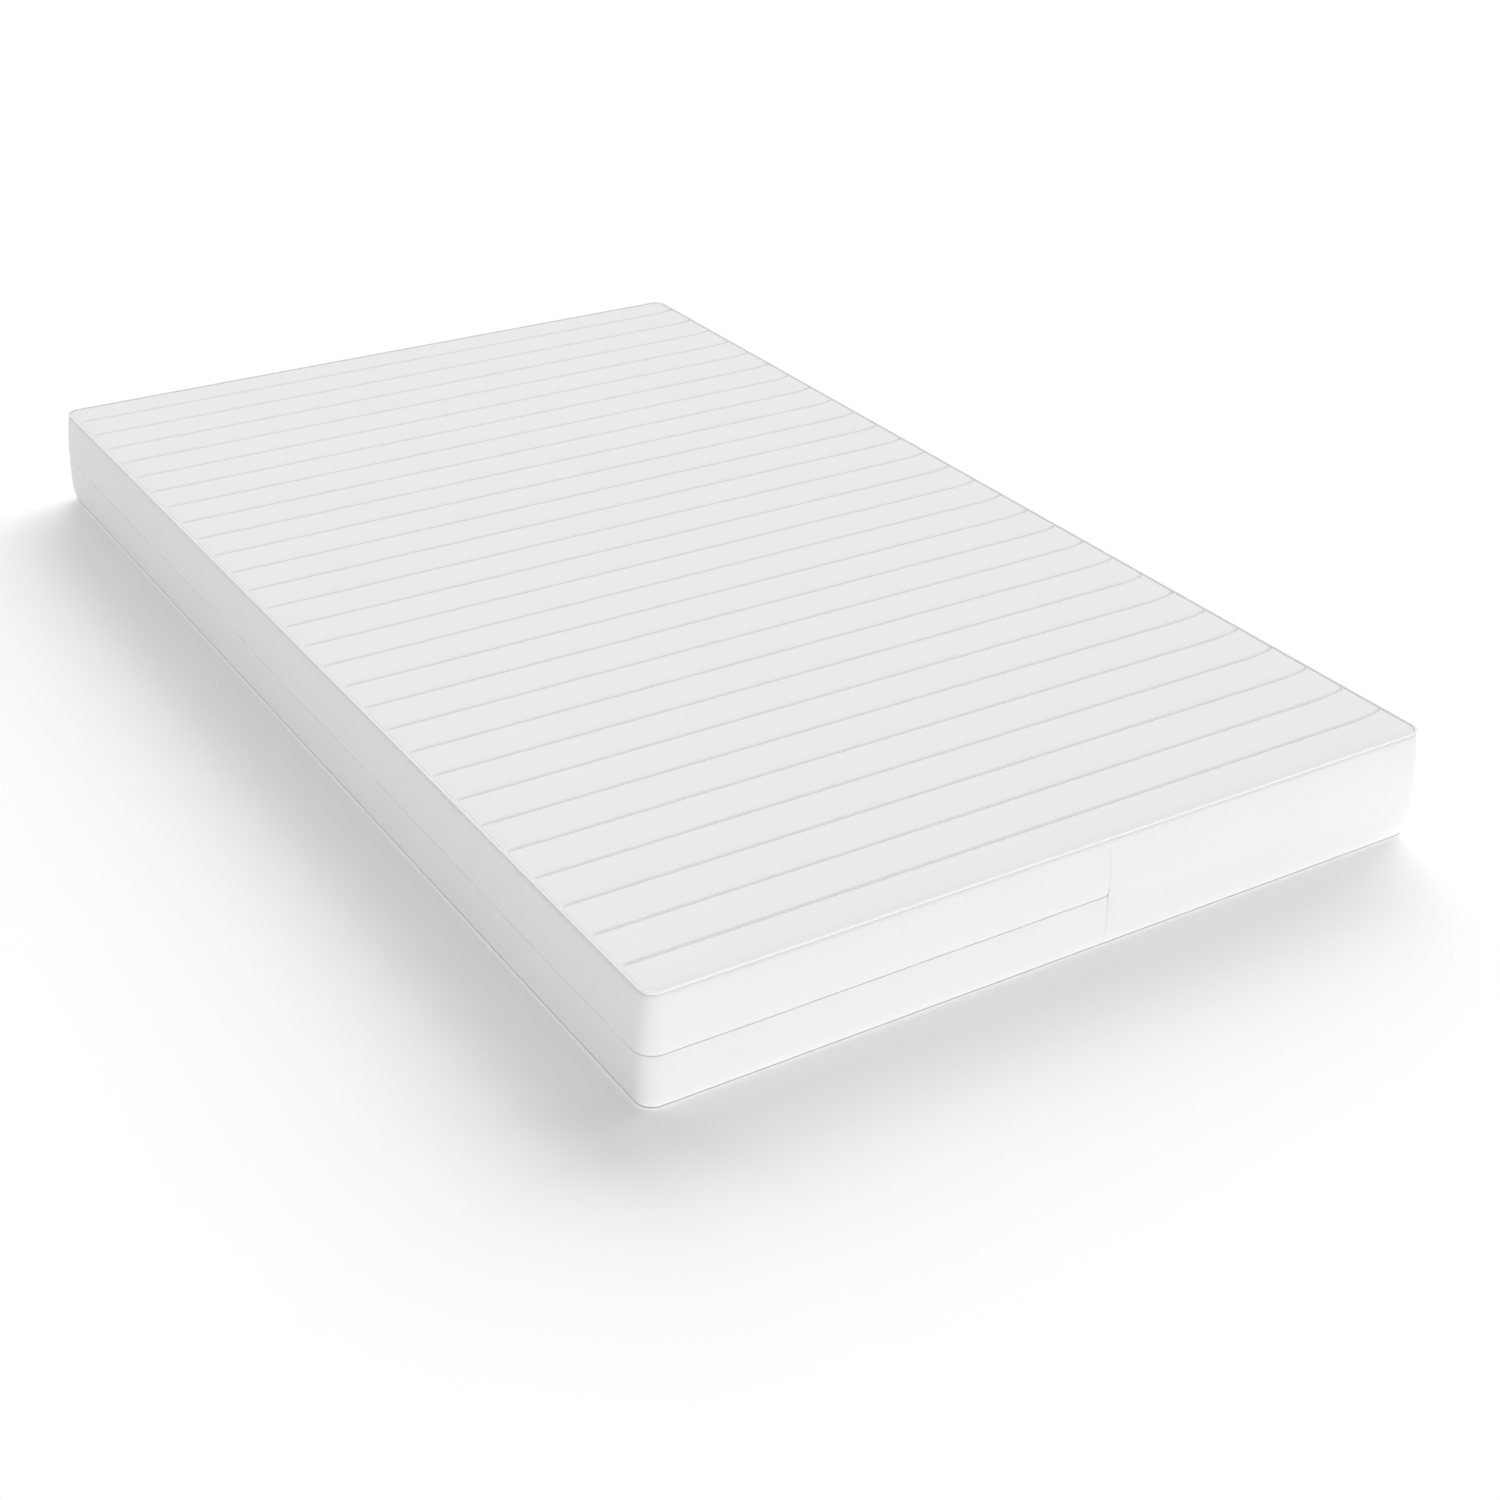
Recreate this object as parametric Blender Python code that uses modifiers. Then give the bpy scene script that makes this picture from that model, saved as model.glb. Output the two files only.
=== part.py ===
"""A single memory foam mattress in a quilted cover that zips off.

Frame: origin at the centre of the underside, X across the width, Y along the length, Z up.
The front end is at -Y. The zip runs from a vertical seam in the front end, round the left side,
to a vertical seam in the rear end. "Inset" is the distance in from the outer face of the border.
"""

import math

import bmesh
import bpy
from mathutils import Vector

# Driving sizes, in metres
WIDTH = 1.2
LENGTH = 2.0
THICKNESS = 0.16
CORNER_RADIUS = 0.025
MIN_CORNER_RADIUS = 0.012
GAP = 0.0003

# Layers of the panels and the core
FACE_FABRIC = 0.0015
TOP_WADDING = 0.006
BOTTOM_WADDING = 0.004
SCRIM = 0.0008
SOCK = 0.001
SUPPORT_FOAM = 0.1

# Border. It bulges: its top and bottom seams lie SEAM_INSET in from its fullest part.
BORDER_FABRIC = 0.0012
BORDER_WADDING = 0.002
PIPING_RADIUS = 0.0016
SEAM_INSET = 0.006
SHOULDER_INSET = 0.0015
SHOULDER_HEIGHT = 0.01
CROWN_HEIGHT = 0.026
SEAM_X = 0.062
JOIN_TAPE_WIDTH = 0.02
TAPE = 0.0008

# Zip
ZIP_Z = 0.078
LIP_OPENING = 0.0024
LIP_DEPTH = 0.0026
LIP_ROLL = 0.0035
COIL_RADIUS = 0.0011
COIL_SPACING = 0.0016
ZIP_TAPE_WIDTH = 0.016
ZIP_TAPE_SEWN = 0.006
ZIP_TAPE_MARGIN = 0.0012
SLIDER_LENGTH = 0.013
SLIDER_WIDTH = 0.0092
SLIDER_PLATE = 0.0011
SLIDER_POST_LENGTH = 0.003
BRIDGE_LENGTH = 0.0052
BRIDGE_LEG = 0.0011
BRIDGE_WIDTH = 0.0016
BRIDGE_ROOF = 0.0007
PULL_LENGTH = 0.024
PULL_ROOT_WIDTH = 0.0048
PULL_TIP_WIDTH = 0.0072
PULL_TIP_HOLE = 0.0015
PULL_THICKNESS = 0.001
PULL_BAR = 0.0009
PULL_WINDOW_LENGTH = 0.0032
PULL_WINDOW_WIDTH = 0.0024
PLATE_CLEARANCE = 0.0005
SOCK_CLEARANCE = 0.0008
JOIN_BITE = 0.0004
ARC_STEPS = 6

# Insets that follow from the sizes above
BORDER_WADDING_INSET = BORDER_FABRIC + GAP
BORDER_INNER = BORDER_WADDING_INSET + BORDER_WADDING
TAPE_INSET = BORDER_INNER + GAP
PANEL_INSET = SEAM_INSET + TAPE_INSET
FRONT_PLATE_INSET = BORDER_INNER + PLATE_CLEARANCE
ZIP_TAPE_INSET = FRONT_PLATE_INSET + SLIDER_PLATE + GAP
COIL_INSET = ZIP_TAPE_INSET + TAPE + GAP + COIL_RADIUS
REAR_PLATE_INSET = COIL_INSET + COIL_RADIUS + GAP
SOCK_INSET = REAR_PLATE_INSET + SLIDER_PLATE + SOCK_CLEARANCE
FOAM_INSET = SOCK_INSET + SOCK + GAP

# Levels that follow from the layers
BOTTOM_WADDING_Z = FACE_FABRIC + GAP
BOTTOM_SCRIM_Z = BOTTOM_WADDING_Z + BOTTOM_WADDING + GAP
SOCK_BOTTOM = BOTTOM_SCRIM_Z + SCRIM + GAP
CORE_BOTTOM = SOCK_BOTTOM + SOCK + GAP
CORE_SPLIT = CORE_BOTTOM + SUPPORT_FOAM
TOP_FABRIC_Z = THICKNESS - FACE_FABRIC
TOP_WADDING_Z = TOP_FABRIC_Z - GAP - TOP_WADDING
TOP_SCRIM_Z = TOP_WADDING_Z - GAP - SCRIM
SOCK_TOP = TOP_SCRIM_Z - GAP
CORE_TOP = SOCK_TOP - SOCK - GAP
BORDER_TOP = THICKNESS - 2 * PIPING_RADIUS - 2 * GAP
BORDER_BOTTOM = 2 * PIPING_RADIUS + 2 * GAP

# Positions along X on both ends
STRIP_END_X = SEAM_X - GAP
ZIP_END_X = SEAM_X - JOIN_TAPE_WIDTH / 2 - GAP
STOP_LENGTH = 0.003
STOP_SETBACK = 0.006
STOP_EDGE = 0.0003
PARKING_GAP = 0.001
STOP_X = ZIP_END_X - STOP_SETBACK
SLIDER_X = STOP_X - STOP_LENGTH / 2 - PARKING_GAP - SLIDER_LENGTH / 2
PIVOT_INSET = -0.0008

WHITE = (0.8, 0.8, 0.79)
GREY = (0.7, 0.7, 0.69)


def clear_scene():
    for obj in list(bpy.data.objects):
        bpy.data.objects.remove(obj, do_unlink=True)


def new_collection(name):
    group = bpy.data.collections.new(name)
    bpy.context.scene.collection.children.link(group)
    return group


def surface_material(name, colour, roughness, metallic=0.0):
    mat = bpy.data.materials.new(name)
    mat.use_nodes = True
    shader = mat.node_tree.nodes["Principled BSDF"]
    shader.inputs["Base Color"].default_value = (*colour, 1)
    shader.inputs["Roughness"].default_value = roughness
    shader.inputs["Metallic"].default_value = metallic
    mat.diffuse_color = (*colour, 1)
    return mat


def add_piece(name, data, colour=WHITE, roughness=0.9, metallic=0.0):
    """A named object in the mattress's collection, with a material of its own."""
    obj = bpy.data.objects.new(name, data)
    data.materials.append(surface_material(name, colour, roughness, metallic))
    MATTRESS.objects.link(obj)
    obj.parent = ROOT
    return obj


def corner_arc(centre_x, centre_y, radius, start, end):
    """Points of a quarter circle, angles in degrees."""
    points = []
    for step in range(ARC_STEPS + 1):
        angle = math.radians(start + (end - start) * step / ARC_STEPS)
        points.append((centre_x + radius * math.cos(angle), centre_y + radius * math.sin(angle)))
    return points


def corners(inset):
    """The four corner arcs of the plan outline, anticlockwise from the front left."""
    radius = max(CORNER_RADIUS - inset, MIN_CORNER_RADIUS)
    x = WIDTH / 2 - inset - radius
    y = LENGTH / 2 - inset - radius
    return [
        corner_arc(-x, -y, radius, 180, 270),
        corner_arc(x, -y, radius, 270, 360),
        corner_arc(x, y, radius, 0, 90),
        corner_arc(-x, y, radius, 90, 180),
    ]


def outline(inset):
    return [point for arc in corners(inset) for point in arc]


def zipped_path(inset, end_x):
    """From the front end at end_x, round the left side, to the rear end at end_x."""
    front_left, _, _, rear_left = corners(inset)
    y = LENGTH / 2 - inset
    return [(end_x, -y), *reversed(front_left), *reversed(rear_left), (end_x, y)]


def plain_path(inset, end_x):
    """From the rear end at end_x, round the right side, to the front end at end_x."""
    _, front_right, rear_right, _ = corners(inset)
    y = LENGTH / 2 - inset
    return [(end_x, y), *reversed(rear_right), *reversed(front_right), (end_x, -y)]


def filled_outline(name, outlines, half_thickness):
    """A flat 2D curve, filled and extruded both ways."""
    curve = bpy.data.curves.new(name, "CURVE")
    curve.dimensions = "2D"
    curve.fill_mode = "BOTH"
    curve.extrude = half_thickness
    for points in outlines:
        spline = curve.splines.new("POLY")
        spline.points.add(len(points) - 1)
        spline.use_cyclic_u = True
        for place, (x, y) in zip(spline.points, points):
            place.co = (x, y, 0, 1)
    return curve


def slab(name, inset, low, high, **look):
    """A flat layer with the mattress's rounded plan."""
    obj = add_piece(name, filled_outline(name, [outline(inset)], (high - low) / 2), **look)
    obj.location.z = (low + high) / 2
    return obj


def rod(name, path, radius, height, cyclic=False, **look):
    """A round strand along a level path."""
    curve = bpy.data.curves.new(name, "CURVE")
    curve.dimensions = "3D"
    curve.bevel_depth = radius
    curve.bevel_resolution = 2
    curve.use_fill_caps = not cyclic
    spline = curve.splines.new("POLY")
    spline.points.add(len(path) - 1)
    spline.use_cyclic_u = cyclic
    for place, (x, y) in zip(spline.points, path):
        place.co = (x, y, height, 1)
    return add_piece(name, curve, **look)


def wall(name, path_at, end_x, rows, thickness, **look):
    """A strip that stands along the border. Its outer face runs up through rows of (inset, z)."""
    mesh = bpy.data.meshes.new(name)
    bm = bmesh.new()
    grid = [[bm.verts.new((x, y, z)) for x, y in path_at(inset, end_x)] for inset, z in rows]
    for lower, upper in zip(grid, grid[1:]):
        for a, b, c, d in zip(lower, lower[1:], upper[1:], upper):
            bm.faces.new((a, d, c, b))
    bm.to_mesh(mesh)
    bm.free()
    mesh.shade_smooth()
    mesh.set_sharp_from_angle(angle=math.radians(35))
    obj = add_piece(name, mesh, **look)
    solid = obj.modifiers.new("Thickness", "SOLIDIFY")
    solid.thickness = thickness
    solid.offset = -1
    solid.use_even_offset = True
    return obj


def box_mesh(name, low, high):
    """A box between two opposite corners."""
    mesh = bpy.data.meshes.new(name)
    bm = bmesh.new()
    bmesh.ops.create_cube(bm, size=1)
    bmesh.ops.scale(bm, vec=Vector(high) - Vector(low), verts=bm.verts)
    bmesh.ops.translate(bm, vec=(Vector(low) + Vector(high)) / 2, verts=bm.verts)
    bm.to_mesh(mesh)
    bm.free()
    return mesh


def box(name, low, high, bevel=0.0, **look):
    obj = add_piece(name, box_mesh(name, low, high), **look)
    if bevel:
        edge = obj.modifiers.new("Edges", "BEVEL")
        edge.width = bevel
        edge.segments = 2
    return obj


def make_core():
    slab("support_foam_core", FOAM_INSET, CORE_BOTTOM, CORE_SPLIT, colour=(0.62, 0.71, 0.78))
    slab("memory_foam_layer", FOAM_INSET, CORE_SPLIT + GAP, CORE_TOP, colour=(0.85, 0.78, 0.62))


def make_sock():
    """A thin bag round both foams, open at its rear end where the foam goes in."""
    x = WIDTH / 2 - SOCK_INSET
    front = SOCK_INSET - LENGTH / 2
    radius = CORNER_RADIUS - SOCK_INSET
    rear = -front - radius
    mesh = box_mesh("inner_sock", (-x, front, SOCK_BOTTOM), (x, rear, SOCK_TOP))
    bm = bmesh.new()
    bm.from_mesh(mesh)
    mouth = [face for face in bm.faces if face.normal.y > 0.5]
    bmesh.ops.delete(bm, geom=mouth, context="FACES_ONLY")
    front_corners = [
        edge for edge in bm.edges
        if edge.verts[0].co.xy == edge.verts[1].co.xy and edge.verts[0].co.y < 0
    ]
    bmesh.ops.bevel(bm, geom=front_corners, offset=radius, segments=ARC_STEPS, profile=0.5, affect="EDGES")
    bm.to_mesh(mesh)
    bm.free()
    obj = add_piece("inner_sock", mesh, colour=(0.82, 0.82, 0.8))
    solid = obj.modifiers.new("Thickness", "SOLIDIFY")
    solid.thickness = SOCK
    solid.offset = -1
    solid.use_even_offset = True


def make_panels():
    top_wadding_top = TOP_WADDING_Z + TOP_WADDING
    slab("top_face_fabric", PANEL_INSET, TOP_FABRIC_Z, THICKNESS)
    slab("top_wadding", PANEL_INSET, TOP_WADDING_Z, top_wadding_top, colour=(0.86, 0.86, 0.86))
    slab("top_backing_scrim", PANEL_INSET, TOP_SCRIM_Z, TOP_SCRIM_Z + SCRIM, colour=GREY)
    bottom_wadding_top = BOTTOM_WADDING_Z + BOTTOM_WADDING
    slab("bottom_face_fabric", PANEL_INSET, 0, FACE_FABRIC)
    slab("bottom_wadding", PANEL_INSET, BOTTOM_WADDING_Z, bottom_wadding_top, colour=(0.86, 0.86, 0.86))
    slab("bottom_backing_scrim", PANEL_INSET, BOTTOM_SCRIM_Z, BOTTOM_SCRIM_Z + SCRIM, colour=GREY)


def make_piping():
    path = outline(SEAM_INSET)
    rod("top_edge_piping", path, PIPING_RADIUS, THICKNESS - PIPING_RADIUS - GAP, cyclic=True)
    rod("bottom_edge_piping", path, PIPING_RADIUS, PIPING_RADIUS + GAP, cyclic=True)


def bulge_top(inset):
    """The rows of a border layer's upper shoulder, from its fullest part up to the top seam."""
    return [
        (inset, BORDER_TOP - CROWN_HEIGHT),
        (inset + SHOULDER_INSET, BORDER_TOP - SHOULDER_HEIGHT),
        (inset + SEAM_INSET, BORDER_TOP),
    ]


def bulge_bottom(inset):
    """The rows of a border layer's lower shoulder, from the bottom seam up to its fullest part."""
    return [
        (inset + SEAM_INSET, BORDER_BOTTOM),
        (inset + SHOULDER_INSET, BORDER_BOTTOM + SHOULDER_HEIGHT),
        (inset, BORDER_BOTTOM + CROWN_HEIGHT),
    ]


def make_borders():
    """Three padded strips: two on the zipped side with rolled lips at the zip, one plain."""
    lip_upper = ZIP_Z + LIP_OPENING / 2
    lip_lower = ZIP_Z - LIP_OPENING / 2
    upper_fabric = [(LIP_DEPTH, lip_upper), (0, lip_upper + LIP_ROLL), *bulge_top(0)]
    lower_fabric = [*bulge_bottom(0), (0, lip_lower - LIP_ROLL), (LIP_DEPTH, lip_lower)]
    plain_fabric = [*bulge_bottom(0), *bulge_top(0)]
    wall("upper_border_fabric", zipped_path, STRIP_END_X, upper_fabric, BORDER_FABRIC)
    wall("lower_border_fabric", zipped_path, STRIP_END_X, lower_fabric, BORDER_FABRIC)
    wall("plain_border_fabric", plain_path, SEAM_X + GAP, plain_fabric, BORDER_FABRIC)

    inset = BORDER_WADDING_INSET
    above_lip = lip_upper + LIP_ROLL + 2 * BORDER_FABRIC
    below_lip = lip_lower - LIP_ROLL - 2 * BORDER_FABRIC
    upper_wadding = [(inset, above_lip), *bulge_top(inset)]
    lower_wadding = [*bulge_bottom(inset), (inset, below_lip)]
    plain_wadding = [*bulge_bottom(inset), *bulge_top(inset)]
    wall("upper_border_wadding", zipped_path, STRIP_END_X, upper_wadding, BORDER_WADDING)
    wall("lower_border_wadding", zipped_path, STRIP_END_X, lower_wadding, BORDER_WADDING)
    wall("plain_border_wadding", plain_path, SEAM_X + GAP, plain_wadding, BORDER_WADDING)


def front_seam_path(inset, half_width):
    y = LENGTH / 2 - inset
    return [(SEAM_X + half_width, -y), (SEAM_X - half_width, -y)]


def rear_seam_path(inset, half_width):
    y = LENGTH / 2 - inset
    return [(SEAM_X - half_width, y), (SEAM_X + half_width, y)]


def make_join_tapes():
    """A tape behind each vertical seam, over the height where the border stands upright."""
    half_width = JOIN_TAPE_WIDTH / 2
    rows = [(TAPE_INSET, BORDER_BOTTOM + CROWN_HEIGHT), (TAPE_INSET, BORDER_TOP - CROWN_HEIGHT)]
    wall("front_join_tape", front_seam_path, half_width, rows, TAPE, colour=(0.75, 0.75, 0.74))
    wall("rear_join_tape", rear_seam_path, half_width, rows, TAPE, colour=(0.75, 0.75, 0.74))


def make_zip_chain():
    """Two tapes sewn behind the lips, each with a coil along its free edge."""
    profile = [
        (ZIP_TAPE_INSET, COIL_SPACING / 2 + GAP),
        (ZIP_TAPE_INSET, SLIDER_WIDTH / 2 + ZIP_TAPE_MARGIN),
        (TAPE_INSET, ZIP_TAPE_WIDTH - ZIP_TAPE_SEWN),
        (TAPE_INSET, ZIP_TAPE_WIDTH),
    ]
    upper = [(inset, ZIP_Z + rise) for inset, rise in profile]
    lower = [(inset, ZIP_Z - rise) for inset, rise in reversed(profile)]
    wall("zip_tape_upper", zipped_path, ZIP_END_X, upper, TAPE, colour=(0.78, 0.78, 0.77))
    wall("zip_tape_lower", zipped_path, ZIP_END_X, lower, TAPE, colour=(0.78, 0.78, 0.77))
    coil_path = zipped_path(COIL_INSET, ZIP_END_X)
    rise = COIL_SPACING / 2 + COIL_RADIUS
    rod("zip_coil_upper", coil_path, COIL_RADIUS, ZIP_Z + rise, colour=(0.85, 0.85, 0.84), roughness=0.4)
    rod("zip_coil_lower", coil_path, COIL_RADIUS, ZIP_Z - rise, colour=(0.85, 0.85, 0.84), roughness=0.4)


def make_stops():
    """Two stops beyond the slider at the rear, one on each coil, and one across both in front."""
    metal = {"colour": (0.75, 0.76, 0.77), "roughness": 0.35, "metallic": 1.0}
    depth = COIL_RADIUS
    far = LENGTH / 2 - COIL_INSET - COIL_RADIUS - GAP
    near = far - depth
    low_x = STOP_X - STOP_LENGTH / 2
    high_x = STOP_X + STOP_LENGTH / 2
    first = COIL_SPACING / 2
    last = first + 2 * COIL_RADIUS
    box("zip_top_stop_upper", (low_x, near, ZIP_Z + first), (high_x, far, ZIP_Z + last), STOP_EDGE, **metal)
    box("zip_top_stop_lower", (low_x, near, ZIP_Z - last), (high_x, far, ZIP_Z - first), STOP_EDGE, **metal)
    box("zip_bottom_stop", (low_x, -far, ZIP_Z - last), (high_x, -near, ZIP_Z + last), STOP_EDGE, **metal)


def slider_blocks():
    """Ranges of (x, inset, z) for the plates, flanges, post and pull bridge. x and z are from its middle."""
    half_length = SLIDER_LENGTH / 2
    half_width = SLIDER_WIDTH / 2
    front = (FRONT_PLATE_INSET, FRONT_PLATE_INSET + SLIDER_PLATE)
    rear = (REAR_PLATE_INSET, REAR_PLATE_INSET + SLIDER_PLATE)
    length = (-half_length, half_length)
    width = (-half_width, half_width)
    post_x = (half_length - JOIN_BITE - SLIDER_POST_LENGTH, half_length - JOIN_BITE)
    post_z = COIL_SPACING / 2 - GAP
    flange_x = (JOIN_BITE - half_length, half_length - JOIN_BITE)
    flange_inset = (COIL_INSET, rear[0] + JOIN_BITE)
    flange_z = COIL_SPACING / 2 + 2 * COIL_RADIUS + GAP
    reach = BRIDGE_LENGTH / 2
    roof = PIVOT_INSET - PULL_THICKNESS / 2 - GAP - BRIDGE_ROOF
    leg_inset = (roof, front[0] + JOIN_BITE)
    bridge_z = (-BRIDGE_WIDTH / 2, BRIDGE_WIDTH / 2)
    return [
        (length, front, width),
        (length, rear, width),
        (post_x, (front[1] - JOIN_BITE, rear[0] + JOIN_BITE), (-post_z, post_z)),
        (flange_x, flange_inset, (flange_z, half_width)),
        (flange_x, flange_inset, (-half_width, -flange_z)),
        ((-reach, BRIDGE_LEG - reach), leg_inset, bridge_z),
        ((reach - BRIDGE_LEG, reach), leg_inset, bridge_z),
        ((-reach, reach), (roof, roof + BRIDGE_ROOF), bridge_z),
    ]


def make_slider():
    """Its origin is the pull's pivot, at the rear end of the zip, where the closed zip's slider parks."""
    meshes = []
    for x, inset, z in slider_blocks():
        low = (x[0], PIVOT_INSET - inset[1], z[0])
        high = (x[1], PIVOT_INSET - inset[0], z[1])
        meshes.append(box_mesh("zip_slider", low, high))
    slider = add_piece("zip_slider", meshes[0], roughness=0.35)
    slider.location = (SLIDER_X, LENGTH / 2 - PIVOT_INSET, ZIP_Z)
    for index, mesh in enumerate(meshes[1:]):
        block = bpy.data.objects.new(f"slider_block_{index}", mesh)
        GUIDES.objects.link(block)
        block.location = slider.location
        block.hide_render = True
        block.display_type = "WIRE"
        union = slider.modifiers.new(f"Join {index}", "BOOLEAN")
        union.operation = "UNION"
        union.object = block
    return slider


def make_pull(slider):
    """A flat teardrop tab with a hole in its tip.

    Its end bar runs through the slider's bridge, and a window clears the bridge's leg.
    """
    root = PULL_ROOT_WIDTH / 2
    bar = PULL_BAR / 2
    window_half = PULL_WINDOW_WIDTH / 2
    window_end = -bar - PULL_WINDOW_LENGTH
    tip_radius = PULL_TIP_WIDTH / 2
    tip_x = tip_radius - PULL_LENGTH
    tip = corner_arc(tip_x, 0, tip_radius, 90, 180) + corner_arc(tip_x, 0, tip_radius, 180, 270)[1:]
    outer = [(bar, root), (window_end, root), *tip, (window_end, -root), (bar, -root)]
    window = [
        (-bar, -window_half),
        (window_end, -window_half),
        (window_end, window_half),
        (-bar, window_half),
    ]
    hole = [
        point
        for quarter in range(4)
        for point in corner_arc(tip_x, 0, PULL_TIP_HOLE, -90 * quarter, -90 * quarter - 90)[1:]
    ]
    curve = filled_outline("zip_pull_tab", [outer, window, hole], PULL_THICKNESS / 2)
    pull = add_piece("zip_pull_tab", curve, roughness=0.35)
    pull.parent = slider
    pull.rotation_euler.x = math.radians(90)


clear_scene()
MATTRESS = new_collection("memory_foam_mattress")
GUIDES = new_collection("joined_blocks")
ROOT = bpy.data.objects.new("mattress_root", None)
MATTRESS.objects.link(ROOT)
make_core()
make_sock()
make_panels()
make_piping()
make_borders()
make_join_tapes()
make_zip_chain()
make_stops()
make_pull(make_slider())
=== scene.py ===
"""The looks of the memory foam mattress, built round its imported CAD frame.

Along the border, a place is (distance round from the front seam, inset, z). The distance goes round
by the left side, and the inset is measured in from the CAD border's outer face.
"""

import math

import bmesh
import bpy
import numpy as np
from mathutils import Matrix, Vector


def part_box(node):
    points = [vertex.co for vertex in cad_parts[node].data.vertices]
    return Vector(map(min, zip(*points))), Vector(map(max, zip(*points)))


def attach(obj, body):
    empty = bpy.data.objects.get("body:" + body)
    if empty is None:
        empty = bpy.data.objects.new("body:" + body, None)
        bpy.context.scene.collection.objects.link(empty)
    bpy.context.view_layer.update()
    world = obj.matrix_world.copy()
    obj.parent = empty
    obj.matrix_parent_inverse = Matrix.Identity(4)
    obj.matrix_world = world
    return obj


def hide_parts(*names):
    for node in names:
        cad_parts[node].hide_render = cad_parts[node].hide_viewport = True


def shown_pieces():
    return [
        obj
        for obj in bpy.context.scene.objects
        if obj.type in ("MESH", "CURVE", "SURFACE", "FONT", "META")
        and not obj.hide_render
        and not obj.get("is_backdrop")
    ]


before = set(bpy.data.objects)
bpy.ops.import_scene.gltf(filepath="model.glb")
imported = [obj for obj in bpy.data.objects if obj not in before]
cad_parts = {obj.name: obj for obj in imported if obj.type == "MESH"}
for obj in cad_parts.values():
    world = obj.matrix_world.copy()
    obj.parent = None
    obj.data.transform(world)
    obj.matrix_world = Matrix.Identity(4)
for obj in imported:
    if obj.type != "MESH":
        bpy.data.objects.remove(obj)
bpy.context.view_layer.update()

# Places from the CAD frame, in metres
PLAIN_LOW, PLAIN_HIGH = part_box("plain_border_fabric")
ZIPPED_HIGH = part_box("upper_border_fabric")[1]
PIPING_LOW, PIPING_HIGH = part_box("top_edge_piping")
BASE_PIPING_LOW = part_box("bottom_edge_piping")[0]
SLIDER_LOW, SLIDER_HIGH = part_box("zip_slider")
HALF_WIDTH = PLAIN_HIGH.x
HALF_LENGTH = PLAIN_HIGH.y
SEAM_X = (ZIPPED_HIGH.x + PLAIN_LOW.x) / 2
SEAM_GAP = (PLAIN_LOW.x - ZIPPED_HIGH.x) / 2
ZIP_Z = (SLIDER_LOW.z + SLIDER_HIGH.z) / 2
PIPING_RADIUS = (PIPING_HIGH.z - PIPING_LOW.z) / 2
SEAM_INSET = HALF_WIDTH - PIPING_HIGH.x + PIPING_RADIUS
TOP_SEAM_Z = PIPING_LOW.z + PIPING_RADIUS
BASE_SEAM_Z = BASE_PIPING_LOW.z + PIPING_RADIUS
BORDER_TOP = PLAIN_HIGH.z
BORDER_BASE = PLAIN_LOW.z

# The corner radius of the CAD plan, which no box gives
CORNER_RADIUS = 0.025

# Cloth of the border. CLEAR is the room left under a cloth, and a gap is half the space between two edges
FABRIC = 0.0012
CLEAR = 0.0003
BORDER_STEP = 0.006
CORNER_STEP = 0.0028
STITCHED_GAP = 0.00003
BASE_SEAM_INSET = 0.0024
TAPE = 0.0008
TAPE_INSET = 0.0038
BORDER_LOFT = 0.002
LOFT_TRIM = 0.0006

# Border's profile: it swells out most at BULGE_Z and is tucked in at both edges
BULGE = 0.0091
BULGE_Z = 0.049
BULGE_POWER_UP = 2.4
BULGE_POWER_DOWN = 3
TUCK_TOP = 0.0009
TUCK_BASE = 0.0006
TUCK_REACH = 0.0022
SLACK_WAVES = ((0.61, 0.00035, 0.4), (0.37, 0.0003, 2.0), (0.173, 0.00018, 5.1))
PUCKERS = ((0.031, 0.00010, 0.3), (0.0233, 0.00008, 1.9), (0.047, 0.00010, 4.0))

# Zip's lips: open on the rear end for the slider, and all but closed elsewhere
LIP_GAP = 0.0010
LIP_GAP_CLOSED = 0.0001
LIP_ROLL = 0.0018
LIP_ROLL_FRONT = 0.0012
LIP_ROLL_LEFT = 0.0002
LIP_WAVES = ((0.083, 0.00003, 0.7), (0.036, 0.00002, 2.2))
ZIP_DENT = 0.0006
ZIP_DENT_HEIGHT = 0.009
FLAT_INSET = 0.0002
FLAT_HEIGHT = 0.0115

# Upright seams: the stitched line, the notch that it pulls, and the swell beside it
STITCH_DENT = 0.0002
STITCH_WIDTH = 0.0016
NOTCH = 0.0015
NOTCH_WIDTH = 0.0030
SEAM_SWELL = 0.0011
SEAM_SWELL_WIDTH = 0.0032
SEAM_SWELL_AWAY = 0.0065

# Piping: how far in each cord is set from its seam
TOP_CORD_SET = 0.0002
BASE_CORD_SET = 0.0006
CORD_STEP = 0.005
CORD_SIDES = 12

# Quilting
QUILT_PITCH = 0.06897
QUILT_SEAMS = 28
HALF_SEAMS = (QUILT_SEAMS - 1) / 2
SEAM_ROWS = (np.arange(QUILT_SEAMS) - HALF_SEAMS) * QUILT_PITCH
GROOVE_WIDTH = 0.0016
END_FADE = 0.011
EDGE_LEVEL = 0.62
RUN_OUT_LEFT = 0.013
RUN_OUT_RIGHT = 0.004
HOOK = 0.013
HOOK_LENGTH = 0.012
HOOK_FADE = 0.03
HOOK_PINCH = 0.25
SEAM_PULLS = ((0.043, 0.00010, 1.0), (0.0291, 0.00008, 0.2), (0.067, 0.00012, 3.0))
PULL_REACH = 0.012

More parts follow.
